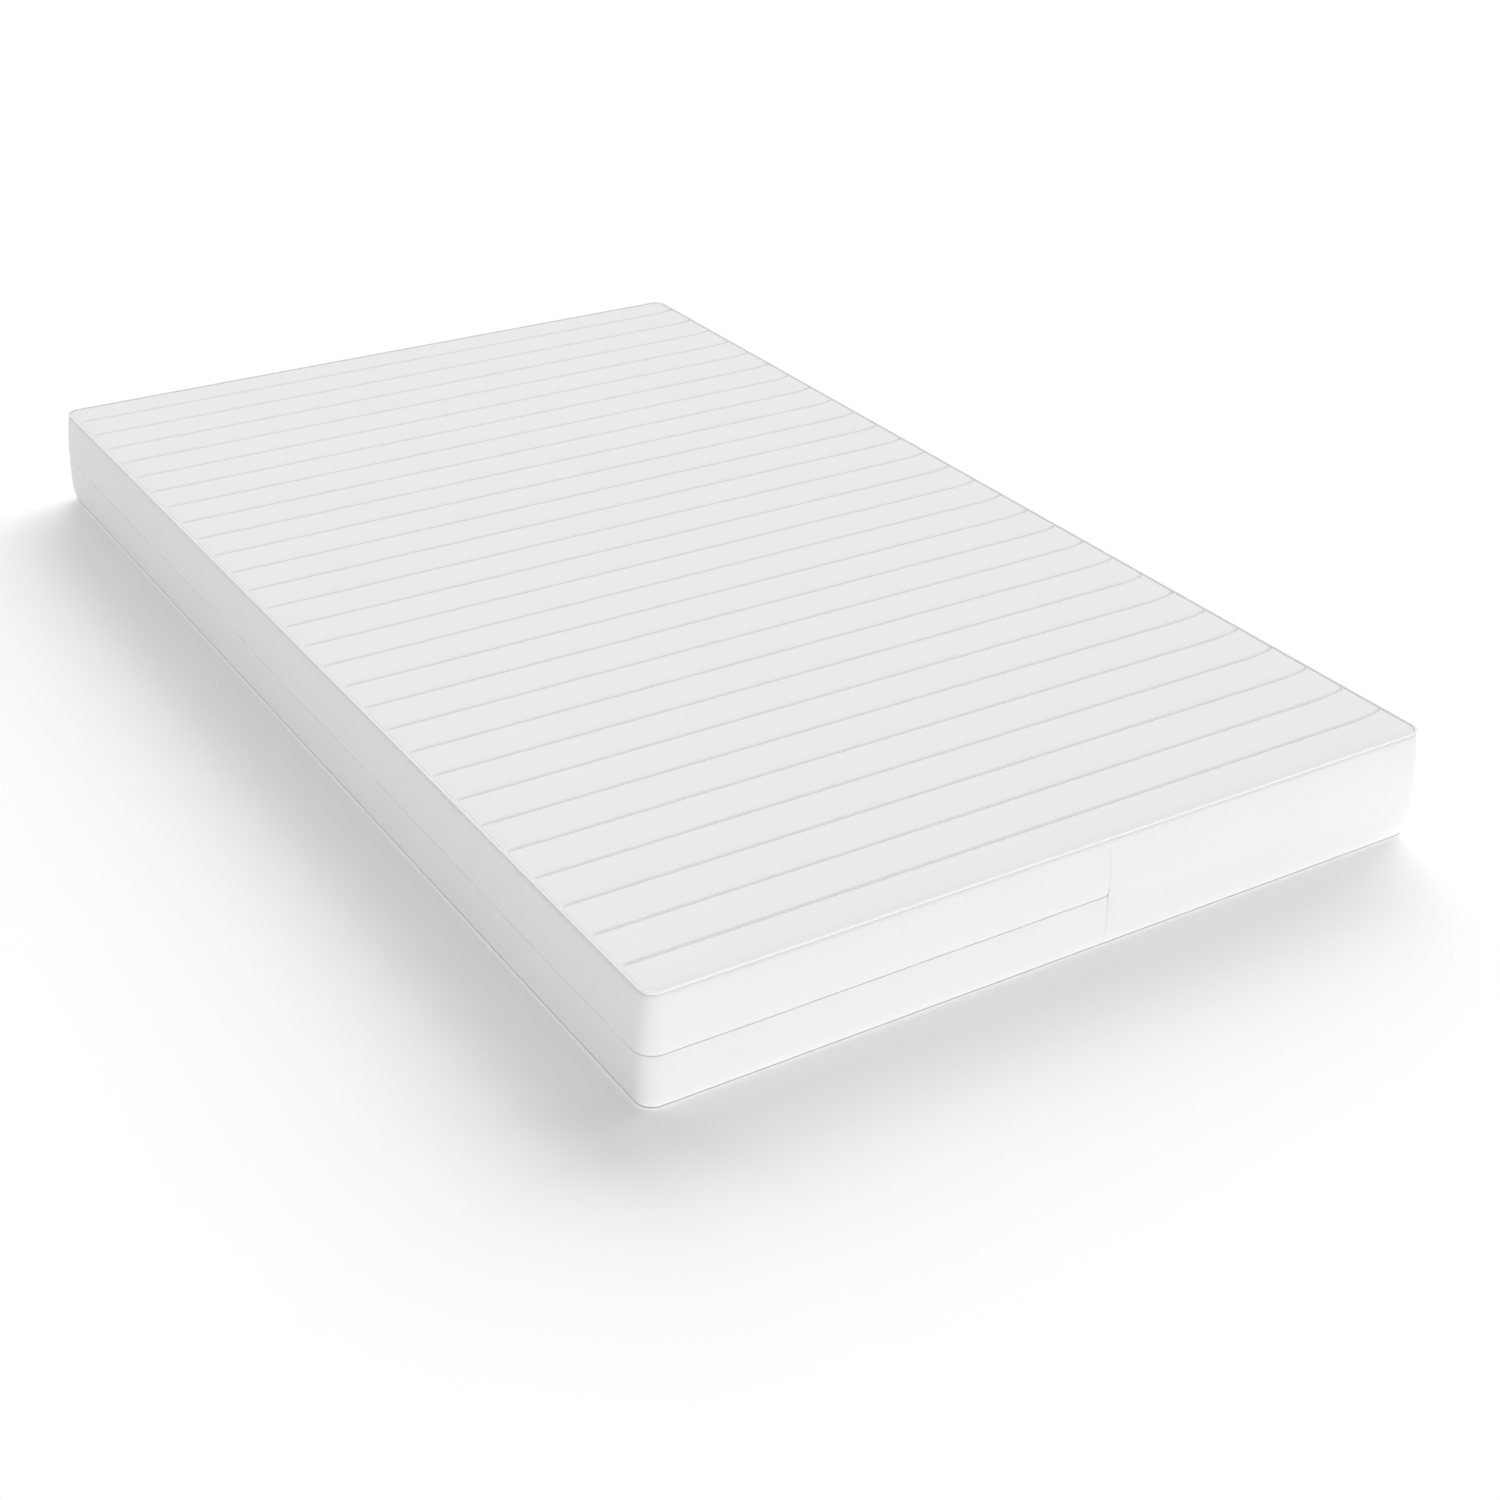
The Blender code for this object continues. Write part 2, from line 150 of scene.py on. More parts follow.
# Quilted panels. LEVEL is the plain height, and FLOOR that of a groove. DEPTH is how deep a groove is,
# CROWN how far the cloth rises between two, and ROLL the radius of the turned edge.
PANEL_INSET = 0.0078
TOP_LEVEL = 0.1602
TOP_DEPTH = 0.0042
TOP_CROWN = 0.0007
TOP_ROLL = 0.0024
BASE_PANEL_INSET = 0.0055
BASE_FLOOR = 0.0028
BASE_DEPTH = 0.0026
BASE_CROWN = 0.0002
BASE_ROLL = 0.0014
BACKING_INSET = PANEL_INSET + 0.002
LEAST_LOFT = 0.0002

# Distances from a seam, or from the panel's side, at which a panel has mesh rows and columns.
# TIP_CLEAR keeps the seams' rows off those of the rounded corners.
FINE = (0, 0.0008, 0.0018, 0.003, 0.0046, 0.007, 0.0115, 0.019, 0.0268, QUILT_PITCH / 2)
MEDIUM = (0, 0.0016, 0.0038, 0.0075, 0.016, QUILT_PITCH / 2)
COARSE = (0, 0.0030, 0.0095, 0.0180, 0.0265, QUILT_PITCH / 2)
PLAIN = (0, 0.012, QUILT_PITCH / 2)
SIDE_STEPS = (0.0, 0.0005, 0.0012, 0.0022, 0.0038, 0.006, 0.0095, 0.014, 0.02, 0.028)
TIP_CLEAR = 0.004

# Quilting thread
STITCH_PITCH = 0.005
STITCH_LENGTH = 0.0041
THREAD_RADIUS = 0.00028
THREAD_SIDES = 5
THREAD_INSET = 0.006

# Core
FOAM_EDGE = 0.003
SOCK_EDGE = 0.0035
SOCK_CLOTH = 0.001
BLOCK_STEP = 0.04

# Cloth simulation of the top face, and the limits put on its lift
SIM_COLUMNS = 110
SIM_FRAMES = 20
HELD_EDGE = 0.004
LIFT_DOWN = 0.0002
LIFT_UP = 0.0014
LIFT_FADE = 0.030
CLOTH_SETTINGS = {
    "quality": 6,
    "mass": 0.25,
    "tension_stiffness": 15,
    "compression_stiffness": 12,
    "shear_stiffness": 4,
    "bending_stiffness": 0.4,
    "vertex_group_mass": "held",
    "shrink_min": -0.0015,
    "use_pressure": True,
    "uniform_pressure_force": 0.6,
}

# Shading and stage
SHARP_ANGLE = math.radians(50)
WORLD_STRENGTH = 0.50
FLOOR_SIZE = 14
FLOOR_Z = -0.0006


# ---------------------------------------------------------------- plan of the border


def plan_runs():
    """Straight runs and corners, from the front seam round by the left side, as (length, function)."""
    x = HALF_WIDTH - CORNER_RADIUS
    y = HALF_LENGTH - CORNER_RADIUS

    def line(start, along, out):
        start, along, out = np.array(start), np.array(along, float), np.array(out, float)
        return lambda t: (start + t[:, None] * along, np.tile(out, (len(t), 1)))

    def arc(cx, cy, first):
        def spot(t):
            angle = math.radians(first) - t / CORNER_RADIUS
            out = np.stack([np.cos(angle), np.sin(angle)], 1)
            return np.array([cx, cy]) + CORNER_RADIUS * out, out

        return spot

    quarter = CORNER_RADIUS * math.pi / 2
    return [
        (SEAM_X + x, line((SEAM_X, -HALF_LENGTH), (-1, 0), (0, -1))),
        (quarter, arc(-x, -y, 270)),
        (2 * y, line((-HALF_WIDTH, -y), (0, 1), (-1, 0))),
        (quarter, arc(-x, y, 180)),
        (x + SEAM_X, line((-x, HALF_LENGTH), (1, 0), (0, 1))),
        (x - SEAM_X, line((SEAM_X, HALF_LENGTH), (1, 0), (0, 1))),
        (quarter, arc(x, y, 90)),
        (2 * y, line((HALF_WIDTH, y), (0, -1), (1, 0))),
        (quarter, arc(x, -y, 0)),
        (x - SEAM_X, line((x, -HALF_LENGTH), (-1, 0), (0, -1))),
    ]


RUNS = plan_runs()
STARTS = np.concatenate([[0], np.cumsum([length for length, _ in RUNS])])
ROUND = STARTS[-1]
LEFT_SIDE = STARTS[2]
REAR_END = STARTS[4]
REAR_SEAM = STARTS[5]
CORNER_MIDDLES = [(STARTS[i] + STARTS[i + 1]) / 2 for i in (1, 3, 6, 8)]


def place(s):
    """Plan positions and outward directions at distances s."""
    s = np.asarray(s, float) % ROUND
    points, outs = np.zeros((len(s), 2)), np.zeros((len(s), 2))
    for (length, run), start in zip(RUNS, STARTS):
        inside = (s >= start) & (s <= start + length)
        points[inside], outs[inside] = run(s[inside] - start)
    return points, outs


def stations(first, last, step=BORDER_STEP):
    """Distances from first to last, closer together round the corners."""
    marks = [first, *STARTS[(STARTS > first) & (STARTS < last)], last]
    found = []
    for low, high in zip(marks, marks[1:]):
        middle = (low + high) / 2
        corner = min(abs(middle - m) for m in CORNER_MIDDLES) < CORNER_RADIUS / 2
        count = max(1, math.ceil((high - low) / (CORNER_STEP if corner else step)))
        found.extend(np.linspace(low, high, count, endpoint=False))
    return np.array([*found, last])


# ---------------------------------------------------------------- shape of the border


def wave(s, *parts):
    """A sum of sines, each (length, height, phase), which stands in for the uneven lie of cloth."""
    return sum(h * np.sin(2 * math.pi * s / l + p) for l, h, p in parts)


def bell(x, width, power=2):
    """Goes from 1 at 0 down to nothing on both sides. A higher power makes the top flatter."""
    return np.exp(-np.abs(x / width) ** power)


def step_up(s, at, width):
    """Goes smoothly from 0 before a place to 1 after it."""
    return (1 + np.tanh((s - at) / (2 * width))) / 2


def smooth(t):
    """Goes from 0 to 1 as t does, level at both ends."""
    return t * t * (3 - 2 * t)


def border_inset(s, z):
    """How far in the border's outer face lies. s is a column, and z a row or a grid."""
    up = np.clip((z - BULGE_Z) / (TOP_SEAM_Z - BULGE_Z), 0, 1)
    down = np.clip((BULGE_Z - z) / (BULGE_Z - BASE_SEAM_Z), 0, 1)
    base_share = (BULGE - SEAM_INSET + BASE_SEAM_INSET) / BULGE
    full = 1 - up**BULGE_POWER_UP - base_share * down**BULGE_POWER_DOWN
    inset = SEAM_INSET - BULGE * full
    inset = inset + TUCK_TOP * bell(z - BORDER_TOP, TUCK_REACH)
    inset = inset + TUCK_BASE * bell(z - BORDER_BASE, TUCK_REACH)
    held = np.clip(up**6 + down**6, 0, 1)
    loose = 1 - held
    inset = inset + loose * wave(s, *SLACK_WAVES)
    pucker = wave(s, *PUCKERS)
    inset = inset + pucker * (bell(up - 1, 0.12) + bell(down - 1, 0.3)) * (1 - held**4)
    zipped = 1 - step_up(s % ROUND, REAR_SEAM, 0.002)
    rear = zipped * step_up(s % ROUND, REAR_END - 0.02, 0.01)
    left = step_up(s % ROUND, LEFT_SIDE + 0.01, 0.006) * (1 - rear)
    dent = ZIP_DENT * (1 - left) + 0.5 * pucker
    inset = inset + zipped * bell(z - ZIP_Z, ZIP_DENT_HEIGHT) * dent
    flat = rear * bell(z - ZIP_Z, FLAT_HEIGHT, 4)
    inset = inset * (1 - flat) + FLAT_INSET * flat
    for seam in (0.0, REAR_SEAM):
        away = (s - seam + ROUND / 2) % ROUND - ROUND / 2
        plain_side = away if seam else -away
        inset = inset + loose * STITCH_DENT * bell(away, STITCH_WIDTH, 1.5)
        inset = inset + NOTCH * bell(away, NOTCH_WIDTH, 1.5) * bell(z - ZIP_Z + 0.004, 0.020, 4)
        swell = SEAM_SWELL * bell(plain_side - SEAM_SWELL_AWAY, SEAM_SWELL_WIDTH)
        inset = inset - swell * bell(z - ZIP_Z + 0.002, 0.036, 4)
    return inset


def offset_rows(rows, thickness):
    """Rows (stations, points, 2) moved in by a thickness, square to the profile, inset growing inwards."""
    along = np.gradient(rows, axis=1)
    along /= np.maximum(np.linalg.norm(along, axis=2, keepdims=True), 1e-9)
    inward = np.stack([along[..., 1], -along[..., 0]], 2)
    return rows + thickness * inward


# ---------------------------------------------------------------- meshes


def add_object(name, data):
    obj = bpy.data.objects.new(name, data)
    bpy.context.scene.collection.objects.link(obj)
    return obj


def add_mesh(name, bm):
    mesh = bpy.data.meshes.new(name)
    bm.to_mesh(mesh)
    bm.free()
    return add_object(name, mesh)


def soften(obj):
    """Shades a piece smoothly, but for its sharp edges."""
    obj.data.shade_smooth()
    obj.data.set_sharp_from_angle(angle=SHARP_ANGLE)
    return obj


def loft(name, rings, closed_way, u, v):
    """A closed body through rings of points (rings, points, 3). u and v are the cloth's own metres."""
    bm = bmesh.new()
    cloth = bm.loops.layers.uv.new("cloth")
    count, size = rings.shape[:2]
    verts = [[bm.verts.new(p) for p in ring] for ring in rings]
    last = count if closed_way else count - 1
    for i in range(last):
        here, there = verts[i], verts[(i + 1) % count]
        for j in range(size):
            k = (j + 1) % size
            face = bm.faces.new((here[j], here[k], there[k], there[j]))
            across = (v[j], v[j + 1], v[j + 1], v[j])
            for loop, a, b in zip(face.loops, (u[i], u[i], u[i + 1], u[i + 1]), across):
                loop[cloth].uv = (a, b)
    if not closed_way:
        for ring, at in ((verts[0], u[0]), (verts[-1], u[-1])):
            half = size // 2
            for j in range(half - 1):
                face = bm.faces.new((ring[j], ring[j + 1], ring[size - 2 - j], ring[size - 1 - j]))
                for loop in face.loops:
                    loop[cloth].uv = (at, 0)
    bmesh.ops.recalc_face_normals(bm, faces=bm.faces)
    return soften(add_mesh(name, bm))


def to_points(s, section):
    """(stations, points, 2) of (inset, z) as points in the frame."""
    at, out = place(s)
    xy = at[:, None, :] - section[..., :1] * out[:, None, :]
    return np.concatenate([xy, section[..., 1:]], 2)


def strip(name, s, outer, thickness):
    """A strip of cloth along the border, its outer face through the rows outer."""
    inner = offset_rows(outer, thickness)
    section = np.concatenate([outer, inner[:, ::-1]], 1)
    run = np.linalg.norm(np.diff(outer.mean(0), axis=0), axis=1)
    v = np.concatenate([[0], np.cumsum(run)])
    v = np.concatenate([v, v[::-1], v[:1]])
    return loft(name, to_points(s, section), False, s, v)


def rod(name, s, inset, z, radius):
    """A round strand all the way round the border. inset has one value for each station."""
    angle = np.linspace(0, 2 * math.pi, CORD_SIDES, endpoint=False)
    across = inset[:, None] + radius * np.cos(angle)
    section = np.stack([across, np.broadcast_to(z + radius * np.sin(angle), across.shape)], 2)
    v = np.linspace(0, 2 * math.pi * radius, CORD_SIDES + 1)
    return loft(name, to_points(s[:-1], section[:-1]), True, s, v)


def block(name, inset, low, high, edge, wall=0.0):
    """A slab with the mattress's plan and rounded edges. With a wall, it is a thin bag of that shape."""
    s = stations(0, ROUND, BLOCK_STEP)[:-1]
    bm = bmesh.new()

    def shell(extra, inside_out):
        turn = np.linspace(0, math.pi / 2, 5)
        r = edge - extra
        rows = [(inset + extra + r - r * math.sin(t), low + extra + r - r * math.cos(t)) for t in turn]
        rows += [(i, high + low - z) for i, z in reversed(rows)]
        rings = [
            [bm.verts.new(p) for p in to_points(s, np.tile(np.array([[row]]), (len(s), 1, 1)))[:, 0]]
            for row in rows
        ]
        faces = []
        for lower, upper in zip(rings, rings[1:]):
            for j in range(len(s)):
                k = (j + 1) % len(s)
                faces.append(bm.faces.new((lower[j], lower[k], upper[k], upper[j])))
        faces += [bm.faces.new(rings[0]), bm.faces.new(rings[-1])]
        bmesh.ops.recalc_face_normals(bm, faces=faces)
        if inside_out:
            bmesh.ops.reverse_faces(bm, faces=faces)

    shell(0.0, False)
    if wall:
        shell(wall, True)
    return soften(add_mesh(name, bm))


# ---------------------------------------------------------------- quilted panels


def quilt_rows(offsets, inset):
    """Y positions of the rows: each seam, and the offsets on both sides of it, and the end arcs."""
    radius = CORNER_RADIUS - inset
    end = HALF_LENGTH - inset
    rows = {round(float(y + side * a), 6) for y in SEAM_ROWS for a in offsets for side in (-1, 1)}
    tip = end - radius
    rows = {y for y in rows if abs(y) < tip - TIP_CLEAR}
    for t in np.linspace(0, math.pi / 2, 9):
        y = round(tip + radius * math.sin(t), 6)
        rows |= {y, -y}
    return np.array(sorted(rows))


def row_half_widths(y, inset):
    """Half the panel's width at a row, which gets shorter in the rounded corners."""
    radius = CORNER_RADIUS - inset
    past = np.clip(np.abs(y) - (HALF_LENGTH - inset - radius), 0, radius)
    return HALF_WIDTH - inset - radius + np.sqrt(radius**2 - past**2)


def edge_distance(x, y, inset):
    """How far in from the panel's outline a point is."""
    radius = CORNER_RADIUS - inset
    qx = np.abs(x) - (HALF_WIDTH - inset - radius)
    qy = np.abs(y) - (HALF_LENGTH - inset - radius)
    outside = np.hypot(np.maximum(qx, 0), np.maximum(qy, 0))
    return np.maximum(radius - outside - np.minimum(np.maximum(qx, qy), 0), 0)


def hook(x, y):
    """How far the quilting seams run off towards the rear near their right-hand ends."""
    free = np.clip((HALF_LENGTH - CORNER_RADIUS - np.abs(y)) / HOOK_FADE, 0, 1)
    return HOOK * np.exp((x - HALF_WIDTH + PANEL_INSET) / HOOK_LENGTH) * free


def seam_distance(x, y):
    """How far a point is from its nearest quilting seam, along Y."""
    y = y - hook(x, y)
    share = (y / QUILT_PITCH - HALF_SEAMS) % 1
    nearest = np.minimum(share, 1 - share) * QUILT_PITCH
    beyond = np.abs(y) - HALF_SEAMS * QUILT_PITCH
    return np.where(beyond > 0, beyond, nearest)


def quilt_height(x, y, depth, crown, inset):
    """Height of a quilted face above its groove floor."""
    away = seam_distance(x, y)
    half = QUILT_PITCH / 2
    puff = 1 - np.exp(-((away / GROOVE_WIDTH) ** 1.5))
    dome = crown * (1 - ((half - np.clip(away, 0, half)) / half) ** 2)
    edge = edge_distance(x, y, inset)
    fade = smooth(np.clip(edge / END_FADE, 0, 1))
    sewn = np.sin(np.clip(edge / np.where(x < 0, RUN_OUT_LEFT, RUN_OUT_RIGHT), 0, 1) * math.pi / 2)
    pull = wave(x, *SEAM_PULLS) * bell(away, PULL_REACH, 1) * (away > 1e-5)
    level = EDGE_LEVEL + (1 - EDGE_LEVEL) * fade
    pinch = 1 + HOOK_PINCH * np.exp(-edge / HOOK_LENGTH) * (x > 0)
    return depth * (level - sewn * (1 - puff) * pinch) + fade * (dome + pull)


def rolled_edge(x, y, inset, roll):
    """How far the cloth drops as it turns down into the edge seam."""
    t = np.clip(edge_distance(x, y, inset) / roll, 0, 1)
    return roll * (1 - np.sqrt(1 - (1 - t) ** 2))


def grid_xy(rows, columns, inset):
    """Points of a panel: rows across the width, drawn in at the rounded corners."""
    half = row_half_widths(rows, inset)
    x = half[:, None] * columns[None, :]
    return x, rows[:, None] + hook(x, rows[:, None])


def column_shares(count):
    """Places across the width from -1 to 1, closer together by both edges."""
    half = HALF_WIDTH - PANEL_INSET
    left = [-1 + step / half for step in SIDE_STEPS]
    middle = np.linspace(left[-1], -left[-1], count - 2 * len(left) + 2)[1:-1]
    return np.array([*left, *middle, *[-x for x in reversed(left)]])


def panel(name, rows, columns, upper, lower, inset, thin=1):
    """A closed sheet between two surfaces. Its underside keeps every thin-th column."""
    bm = bmesh.new()
    cloth = bm.loops.layers.uv.new("cloth")
    keep = sorted({*range(0, len(columns), thin), len(columns) - 1})
    x, y = grid_xy(rows, columns, inset)
    top = [[bm.verts.new(p) for p in zip(x[i], y[i], upper[i])] for i in range(len(rows))]
    base = [{j: bm.verts.new((x[i, j], y[i, j], lower[i, j])) for j in keep} for i in range(len(rows))]
    for i in range(len(rows) - 1):
        for j in range(len(columns) - 1):
            bm.faces.new((top[i][j], top[i][j + 1], top[i + 1][j + 1], top[i + 1][j]))
        for a, b in zip(keep, keep[1:]):
            bm.faces.new((base[i][a], base[i + 1][a], base[i + 1][b], base[i][b]))
        for j in (0, len(columns) - 1):
            bm.faces.new((top[i][j], top[i + 1][j], base[i + 1][j], base[i][j]))
    for i in (0, len(rows) - 1):
        for a, b in zip(keep, keep[1:]):
            bm.faces.new([base[i][a], *[top[i][j] for j in range(a, b + 1)], base[i][b]])
    for face in bm.faces:
        for loop in face.loops:
            loop[cloth].uv = loop.vert.co.xy
    bmesh.ops.recalc_face_normals(bm, faces=bm.faces)
    return soften(add_mesh(name, bm))


# ---------------------------------------------------------------- materials


class Look:
    """A procedural material and short ways to add its nodes."""

    def __init__(self, name, roughness, metallic=0.0, sheen=0.0, coat=0.0):
        self.mat = bpy.data.materials.new(name)
        self.mat.use_nodes = True
        self.tree = self.mat.node_tree
        self.shader = self.tree.nodes["Principled BSDF"]
        for socket, value in (
            ("Roughness", roughness),
            ("Metallic", metallic),
            ("Sheen Weight", sheen),
            ("Sheen Roughness", 0.5),
            ("Coat Weight", coat),
        ):
            self.shader.inputs[socket].default_value = value

    def add(self, kind, inputs=None, **settings):
        node = self.tree.nodes.new(kind)
        for key, value in settings.items():
            setattr(node, key, value)
        for key, value in (inputs or {}).items():
            if isinstance(value, bpy.types.NodeSocket):
                self.tree.links.new(value, node.inputs[key])
            else:
                node.inputs[key].default_value = value
        return node

    def math(self, operation, a, b=0.0):
        return self.add("ShaderNodeMath", {0: a, 1: b}, operation=operation).outputs[0]

    def place(self, uv):
        """The cloth's own metres, or the part's, as a vector."""
        if uv:
            return self.add("ShaderNodeUVMap", uv_map="cloth").outputs["UV"]
        return self.add("ShaderNodeTexCoord").outputs["Object"]

    def noise(self, where, scale, detail=2.0, roughness=0.5):
        made = self.add(
            "ShaderNodeTexNoise",
            {"Vector": where, "Scale": scale, "Detail": detail, "Roughness": roughness},
        )
        return made.outputs["Fac"]

    def colour(self, factor, dark, light):
        ramp = self.add("ShaderNodeMix", {0: factor}, data_type="RGBA")
        ramp.inputs[6].default_value = (*dark, 1)
        ramp.inputs[7].default_value = (*light, 1)
        self.tree.links.new(ramp.outputs[2], self.shader.inputs["Base Color"])

    def roughness(self, factor, low, high):
        spread = self.add("ShaderNodeMapRange", {0: factor, 3: low, 4: high})
        self.tree.links.new(spread.outputs[0], self.shader.inputs["Roughness"])

    def bump(self, height, distance, strength=1.0):
        node = self.add("ShaderNodeBump", {"Height": height, "Distance": distance, "Strength": strength})
        self.tree.links.new(node.outputs["Normal"], self.shader.inputs["Normal"])


def knit_look(name, dark, light, wale, course, relief):
    """A weft knit: columns of V-shaped stitches, with a soft fibre haze."""
    look = Look(name, 0.9, sheen=0.12)
    where = look.place(uv=True)
    parts = look.add("ShaderNodeSeparateXYZ", {0: where})
    column = look.math("PINGPONG", look.math("DIVIDE", parts.outputs[0], wale), 0.5)
    along = look.math("ADD", look.math("DIVIDE", parts.outputs[1], course), column)
    loop = look.math("PINGPONG", along, 0.5)
    stitch = look.math("ADD", loop, look.math("MULTIPLY", column, 0.9))
    fibre = look.noise(where, 2600.0, 2.0)
    look.bump(look.math("ADD", stitch, look.math("MULTIPLY", fibre, 0.5)), relief, 0.7)
    patches = look.noise(where, 6.0, 4.0, 0.6)
    shade = look.math("ADD", look.math("MULTIPLY", stitch, 0.35), look.math("MULTIPLY", patches, 0.65))
    look.colour(shade, dark, light)
    look.roughness(fibre, 0.82, 0.97)
    return look.mat


def woven_look(name, dark, light, pitch, relief, twill=False):
    """A plain or twill weave of threads a pitch apart."""
    look = Look(name, 0.8, sheen=0.05)
    where = look.place(uv=True)
    parts = look.add("ShaderNodeSeparateXYZ", {0: where})
    warp_at = look.math("DIVIDE", parts.outputs[0], pitch)
    weft_at = look.math("DIVIDE", parts.outputs[1], pitch)
    if twill:
        warp_at = look.math("ADD", warp_at, weft_at)
    warp = look.math("PINGPONG", warp_at, 0.5)
    weft = look.math("PINGPONG", weft_at, 0.5)
    threads = look.math("MULTIPLY", look.math("ADD", warp, 0.3), look.math("ADD", weft, 0.3))
    look.bump(threads, relief, 0.8)
    patches = look.noise(where, 40.0, 3.0)
    look.colour(look.math("ADD", threads, look.math("MULTIPLY", patches, 0.4)), dark, light)
    look.roughness(patches, 0.7, 0.9)
    return look.mat


def fibre_look(name, dark, light, scale, relief, sheen=0.2):
    """A lofty mat of crossed fibres."""
    look = Look(name, 0.95, sheen=sheen)
    where = look.place(uv=False)
    fine = look.noise(where, scale, 6.0, 0.7)
    coarse = look.noise(where, scale / 12, 2.0)
    look.bump(look.math("ADD", fine, coarse), relief, 0.8)
    look.colour(look.math("MULTIPLY", look.math("ADD", fine, coarse), 0.5), dark, light)
    look.roughness(fine, 0.88, 1.0)
    return look.mat


def foam_look(name, dark, light, cell, relief):
    """Open-cell foam: small round cells, in patches a little lighter or darker."""
    look = Look(name, 0.9)
    where = look.place(uv=False)
    cells = look.add("ShaderNodeTexVoronoi", {"Vector": where, "Scale": 1 / cell, "Randomness": 1.0})
    patches = look.noise(where, 25.0, 3.0)
    look.bump(cells.outputs["Distance"], relief, 0.9)
    round_cells = look.math("MULTIPLY", cells.outputs["Distance"], 0.7)
    look.colour(look.math("ADD", round_cells, look.math("MULTIPLY", patches, 0.4)), dark, light)
    look.roughness(patches, 0.82, 0.98)
    return look.mat


def enamel_look(name, dark, light, roughness, metallic, coat):
    """A cast metal part under a thin glossy paint or plating, a little worn."""
    look = Look(name, roughness, metallic=metallic, coat=coat)
    where = look.place(uv=False)
    wear = look.noise(where, 700.0, 5.0, 0.6)
    look.bump(wear, 0.00004, 0.5)
    look.colour(wear, dark, light)
    look.roughness(wear, roughness - 0.08, roughness + 0.12)
    return look.mat


def coil_look(name, dark, light, pitch):
    """Nylon wound in turns a pitch apart, whichever side of the mattress the zip runs along."""
    look = Look(name, 0.35)
    where = look.place(uv=False)
    parts = look.add("ShaderNodeSeparateXYZ", {0: where})
    run = look.math("ADD", parts.outputs[0], parts.outputs[1])
    turn = look.math("PINGPONG", look.math("DIVIDE", run, pitch), 0.5)
    look.bump(turn, 0.0004, 1.0)
    look.colour(look.math("MULTIPLY", turn, 2.0), dark, light)
    look.roughness(turn, 0.3, 0.5)
    return look.mat


COVER_KNIT = knit_look(
    "cover_knit", (0.72, 0.727, 0.722), (0.76, 0.767, 0.762), wale=0.0013, course=0.0010, relief=0.00016
)
BORDER_KNIT = knit_look(
    "border_knit", (0.72, 0.727, 0.724), (0.76, 0.767, 0.764), wale=0.0012, course=0.0010, relief=0.00014
)
SOCK_KNIT = knit_look(
    "sock_knit", (0.6, 0.6, 0.58), (0.82, 0.82, 0.79), wale=0.0024, course=0.0020, relief=0.0004
)
# The piping is set lighter than the cover's knit: partly its own white cloth, partly a painted highlight
# for the bright line along both edges.
PIPING_RIB_AND_HIGHLIGHT = woven_look(
    "piping_rib_and_highlight", (0.75, 0.757, 0.753), (0.83, 0.837, 0.833), pitch=0.0006, relief=0.00010
)
TAPE_TWILL = woven_look(
    "tape_twill", (0.62, 0.62, 0.61), (0.84, 0.84, 0.83), pitch=0.0005, relief=0.00012, twill=True
)
THREAD = woven_look(
    "thread_twist", (0.74, 0.745, 0.74), (0.88, 0.885, 0.88), pitch=0.0003, relief=0.00006, twill=True
)
LOFT = fibre_look("polyester_loft", (0.72, 0.72, 0.72), (0.9, 0.9, 0.9), scale=900.0, relief=0.0006)
SCRIM_WEB = fibre_look(
    "scrim_web", (0.55, 0.55, 0.54), (0.78, 0.78, 0.76), scale=1800.0, relief=0.0001, sheen=0.05
)
VISCO = foam_look("visco_foam", (0.72, 0.62, 0.42), (0.93, 0.86, 0.68), cell=0.0012, relief=0.0005)
SUPPORT = foam_look("support_foam", (0.36, 0.47, 0.58), (0.62, 0.72, 0.8), cell=0.0018, relief=0.0008)
COIL = coil_look("nylon_coil", (0.6, 0.6, 0.59), (0.86, 0.86, 0.85), pitch=0.0013)
ENAMEL = enamel_look(
    "white_enamel", (0.7, 0.7, 0.69), (0.82, 0.82, 0.81), roughness=0.3, metallic=0.0, coat=0.4
)
NICKEL = enamel_look("nickel", (0.5, 0.5, 0.49), (0.68, 0.68, 0.66), roughness=0.3, metallic=1.0, coat=0.0)


def settle(obj, look, slot, *nodes):
    """Gives a piece its material and body, and hides the CAD nodes that it stands for. The slot is not
    used.
    """
    obj.data.materials.clear()
    obj.data.materials.append(look)
    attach(obj, "mattress")
    if nodes:
        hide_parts(*nodes)


# ---------------------------------------------------------------- border pieces


def shoulder_rows(s, low, high, count):
    """Rows up the border's outer face between two heights, closer together at both ends."""
    t = (1 - np.cos(np.linspace(0, math.pi, count))) / 2
    z = np.broadcast_to(low + (high - low) * t, (len(s), count))
    return np.stack([border_inset(s[:, None], z), z], 2)


def lip_rows(s, sign):
    """The rolled edge by the zip, from its hidden end out to the face. sign is 1 above the zip."""
    turn = np.linspace(0, math.pi / 2, 7)[:-1]
    face = border_inset(s[:, None], np.full((len(s), 1), ZIP_Z + sign * (LIP_GAP + LIP_ROLL)))
    rear = step_up(s, REAR_END - 0.01, 0.004)
    left = step_up(s, LEFT_SIDE + 0.01, 0.006) * (1 - rear)
    roll = LIP_ROLL_FRONT + (LIP_ROLL - LIP_ROLL_FRONT) * rear + (LIP_ROLL_LEFT - LIP_ROLL_FRONT) * left
    roll = roll[:, None]
    gap = LIP_GAP_CLOSED + (LIP_GAP - LIP_GAP_CLOSED) * rear
    gap = (gap + wave(s, *LIP_WAVES))[:, None]
    inset = face + roll * (1 - np.sin(turn))
    z = ZIP_Z + sign * (gap + roll - roll * np.cos(turn))
    hidden = np.stack([face + roll + 0.0005, ZIP_Z + sign * (gap + 0.0001)], 2)
    return np.concatenate([hidden, np.stack([inset, z + 0 * inset], 2)], 1)


